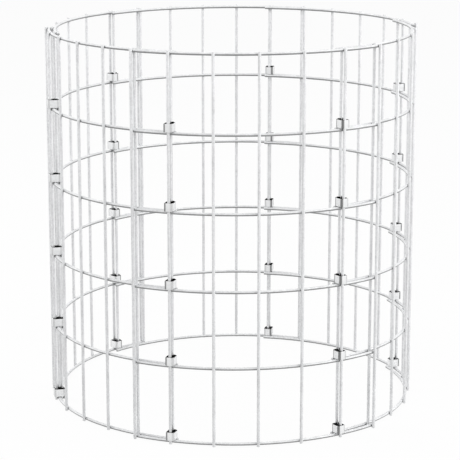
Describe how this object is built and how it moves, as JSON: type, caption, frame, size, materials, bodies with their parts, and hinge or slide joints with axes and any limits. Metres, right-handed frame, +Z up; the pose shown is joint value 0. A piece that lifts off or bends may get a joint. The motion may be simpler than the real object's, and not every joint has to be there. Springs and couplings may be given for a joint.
{
  "type": "leaf composter bin",
  "caption": "Round leaf composter bin with no floor: curved panels of welded wire mesh nest where they overlap, held by folded sheet clips that slide along the uprights.",
  "frame": {"origin": "on the ground, at the centre of the bin's round plan", "axes": "+Z up along the uprights, -Y to the front with the closing overlap front right, +X to the viewer's right"},
  "size_m": [0.4958, 0.4914, 0.5],
  "materials": {
    "galvanised_wire": "hot-dip galvanised, light grey, satin",
    "clip_sheet": "galvanised sheet, pale, satin"
  },
  "bodies": {
    "mesh_panels": {"front_panel_uprights": "galvanised_wire", "front_right_panel_uprights": "galvanised_wire", "back_right_panel_uprights": "galvanised_wire", "back_panel_uprights": "galvanised_wire", "back_left_panel_uprights": "galvanised_wire", "front_left_panel_uprights": "galvanised_wire", "front_panel_hoops": "galvanised_wire", "front_right_panel_hoops": "galvanised_wire", "back_right_panel_hoops": "galvanised_wire", "back_panel_hoops": "galvanised_wire", "back_left_panel_hoops": "galvanised_wire", "front_left_panel_hoops": "galvanised_wire"},
    "front_left_seam_clip_1": {"front_left_seam_clip_1": "clip_sheet"},
    "front_left_seam_clip_2": {"front_left_seam_clip_2": "clip_sheet"},
    "front_left_seam_clip_3": {"front_left_seam_clip_3": "clip_sheet"},
    "front_left_seam_clip_4": {"front_left_seam_clip_4": "clip_sheet"},
    "front_left_seam_clip_5": {"front_left_seam_clip_5": "clip_sheet"},
    "front_right_seam_clip_1": {"front_right_seam_clip_1": "clip_sheet"},
    "front_right_seam_clip_2": {"front_right_seam_clip_2": "clip_sheet"},
    "front_right_seam_clip_3": {"front_right_seam_clip_3": "clip_sheet"},
    "front_right_seam_clip_4": {"front_right_seam_clip_4": "clip_sheet"},
    "front_right_seam_clip_5": {"front_right_seam_clip_5": "clip_sheet"},
    "right_seam_clip_1": {"right_seam_clip_1": "clip_sheet"},
    "right_seam_clip_2": {"right_seam_clip_2": "clip_sheet"},
    "right_seam_clip_3": {"right_seam_clip_3": "clip_sheet"},
    "right_seam_clip_4": {"right_seam_clip_4": "clip_sheet"},
    "right_seam_clip_5": {"right_seam_clip_5": "clip_sheet"},
    "back_right_seam_clip_1": {"back_right_seam_clip_1": "clip_sheet"},
    "back_right_seam_clip_2": {"back_right_seam_clip_2": "clip_sheet"},
    "back_right_seam_clip_3": {"back_right_seam_clip_3": "clip_sheet"},
    "back_right_seam_clip_4": {"back_right_seam_clip_4": "clip_sheet"},
    "back_right_seam_clip_5": {"back_right_seam_clip_5": "clip_sheet"},
    "back_left_seam_clip_1": {"back_left_seam_clip_1": "clip_sheet"},
    "back_left_seam_clip_2": {"back_left_seam_clip_2": "clip_sheet"},
    "back_left_seam_clip_3": {"back_left_seam_clip_3": "clip_sheet"},
    "back_left_seam_clip_4": {"back_left_seam_clip_4": "clip_sheet"},
    "back_left_seam_clip_5": {"back_left_seam_clip_5": "clip_sheet"},
    "left_seam_clip_1": {"left_seam_clip_1": "clip_sheet"},
    "left_seam_clip_2": {"left_seam_clip_2": "clip_sheet"},
    "left_seam_clip_3": {"left_seam_clip_3": "clip_sheet"},
    "left_seam_clip_4": {"left_seam_clip_4": "clip_sheet"},
    "left_seam_clip_5": {"left_seam_clip_5": "clip_sheet"}
  },
  "joints": [
    {"name": "front_left_seam_clip_1_slide", "type": "slide", "parent": "mesh_panels", "child": "front_left_seam_clip_1", "axis": [0, 0, 1], "range_m": [0, 0.0837]},
    {"name": "front_left_seam_clip_2_slide", "type": "slide", "parent": "mesh_panels", "child": "front_left_seam_clip_2", "axis": [0, 0, 1], "range_m": [0, 0.0837]},
    {"name": "front_left_seam_clip_3_slide", "type": "slide", "parent": "mesh_panels", "child": "front_left_seam_clip_3", "axis": [0, 0, 1], "range_m": [0, 0.0837]},
    {"name": "front_left_seam_clip_4_slide", "type": "slide", "parent": "mesh_panels", "child": "front_left_seam_clip_4", "axis": [0, 0, 1], "range_m": [0, 0.0837]},
    {"name": "front_left_seam_clip_5_slide", "type": "slide", "parent": "mesh_panels", "child": "front_left_seam_clip_5", "axis": [0, 0, 1], "range_m": [0, 0.0837]},
    {"name": "front_right_seam_clip_1_slide", "type": "slide", "parent": "mesh_panels", "child": "front_right_seam_clip_1", "axis": [0, 0, 1], "range_m": [0, 0.0837]},
    {"name": "front_right_seam_clip_2_slide", "type": "slide", "parent": "mesh_panels", "child": "front_right_seam_clip_2", "axis": [0, 0, 1], "range_m": [0, 0.0837]},
    {"name": "front_right_seam_clip_3_slide", "type": "slide", "parent": "mesh_panels", "child": "front_right_seam_clip_3", "axis": [0, 0, 1], "range_m": [0, 0.0837]},
    {"name": "front_right_seam_clip_4_slide", "type": "slide", "parent": "mesh_panels", "child": "front_right_seam_clip_4", "axis": [0, 0, 1], "range_m": [0, 0.0837]},
    {"name": "front_right_seam_clip_5_slide", "type": "slide", "parent": "mesh_panels", "child": "front_right_seam_clip_5", "axis": [0, 0, 1], "range_m": [0, 0.0837]},
    {"name": "right_seam_clip_1_slide", "type": "slide", "parent": "mesh_panels", "child": "right_seam_clip_1", "axis": [0, 0, 1], "range_m": [0, 0.0837]},
    {"name": "right_seam_clip_2_slide", "type": "slide", "parent": "mesh_panels", "child": "right_seam_clip_2", "axis": [0, 0, 1], "range_m": [0, 0.0837]},
    {"name": "right_seam_clip_3_slide", "type": "slide", "parent": "mesh_panels", "child": "right_seam_clip_3", "axis": [0, 0, 1], "range_m": [0, 0.0837]},
    {"name": "right_seam_clip_4_slide", "type": "slide", "parent": "mesh_panels", "child": "right_seam_clip_4", "axis": [0, 0, 1], "range_m": [0, 0.0837]},
    {"name": "right_seam_clip_5_slide", "type": "slide", "parent": "mesh_panels", "child": "right_seam_clip_5", "axis": [0, 0, 1], "range_m": [0, 0.0837]},
    {"name": "back_right_seam_clip_1_slide", "type": "slide", "parent": "mesh_panels", "child": "back_right_seam_clip_1", "axis": [0, 0, 1], "range_m": [0, 0.0837]},
    {"name": "back_right_seam_clip_2_slide", "type": "slide", "parent": "mesh_panels", "child": "back_right_seam_clip_2", "axis": [0, 0, 1], "range_m": [0, 0.0837]},
    {"name": "back_right_seam_clip_3_slide", "type": "slide", "parent": "mesh_panels", "child": "back_right_seam_clip_3", "axis": [0, 0, 1], "range_m": [0, 0.0837]},
    {"name": "back_right_seam_clip_4_slide", "type": "slide", "parent": "mesh_panels", "child": "back_right_seam_clip_4", "axis": [0, 0, 1], "range_m": [0, 0.0837]},
    {"name": "back_right_seam_clip_5_slide", "type": "slide", "parent": "mesh_panels", "child": "back_right_seam_clip_5", "axis": [0, 0, 1], "range_m": [0, 0.0837]},
    {"name": "back_left_seam_clip_1_slide", "type": "slide", "parent": "mesh_panels", "child": "back_left_seam_clip_1", "axis": [0, 0, 1], "range_m": [0, 0.0837]},
    {"name": "back_left_seam_clip_2_slide", "type": "slide", "parent": "mesh_panels", "child": "back_left_seam_clip_2", "axis": [0, 0, 1], "range_m": [0, 0.0837]},
    {"name": "back_left_seam_clip_3_slide", "type": "slide", "parent": "mesh_panels", "child": "back_left_seam_clip_3", "axis": [0, 0, 1], "range_m": [0, 0.0837]},
    {"name": "back_left_seam_clip_4_slide", "type": "slide", "parent": "mesh_panels", "child": "back_left_seam_clip_4", "axis": [0, 0, 1], "range_m": [0, 0.0837]},
    {"name": "back_left_seam_clip_5_slide", "type": "slide", "parent": "mesh_panels", "child": "back_left_seam_clip_5", "axis": [0, 0, 1], "range_m": [0, 0.0837]},
    {"name": "left_seam_clip_1_slide", "type": "slide", "parent": "mesh_panels", "child": "left_seam_clip_1", "axis": [0, 0, 1], "range_m": [0, 0.0837]},
    {"name": "left_seam_clip_2_slide", "type": "slide", "parent": "mesh_panels", "child": "left_seam_clip_2", "axis": [0, 0, 1], "range_m": [0, 0.0837]},
    {"name": "left_seam_clip_3_slide", "type": "slide", "parent": "mesh_panels", "child": "left_seam_clip_3", "axis": [0, 0, 1], "range_m": [0, 0.0837]},
    {"name": "left_seam_clip_4_slide", "type": "slide", "parent": "mesh_panels", "child": "left_seam_clip_4", "axis": [0, 0, 1], "range_m": [0, 0.0837]},
    {"name": "left_seam_clip_5_slide", "type": "slide", "parent": "mesh_panels", "child": "left_seam_clip_5", "axis": [0, 0, 1], "range_m": [0, 0.0837]}
  ]
}
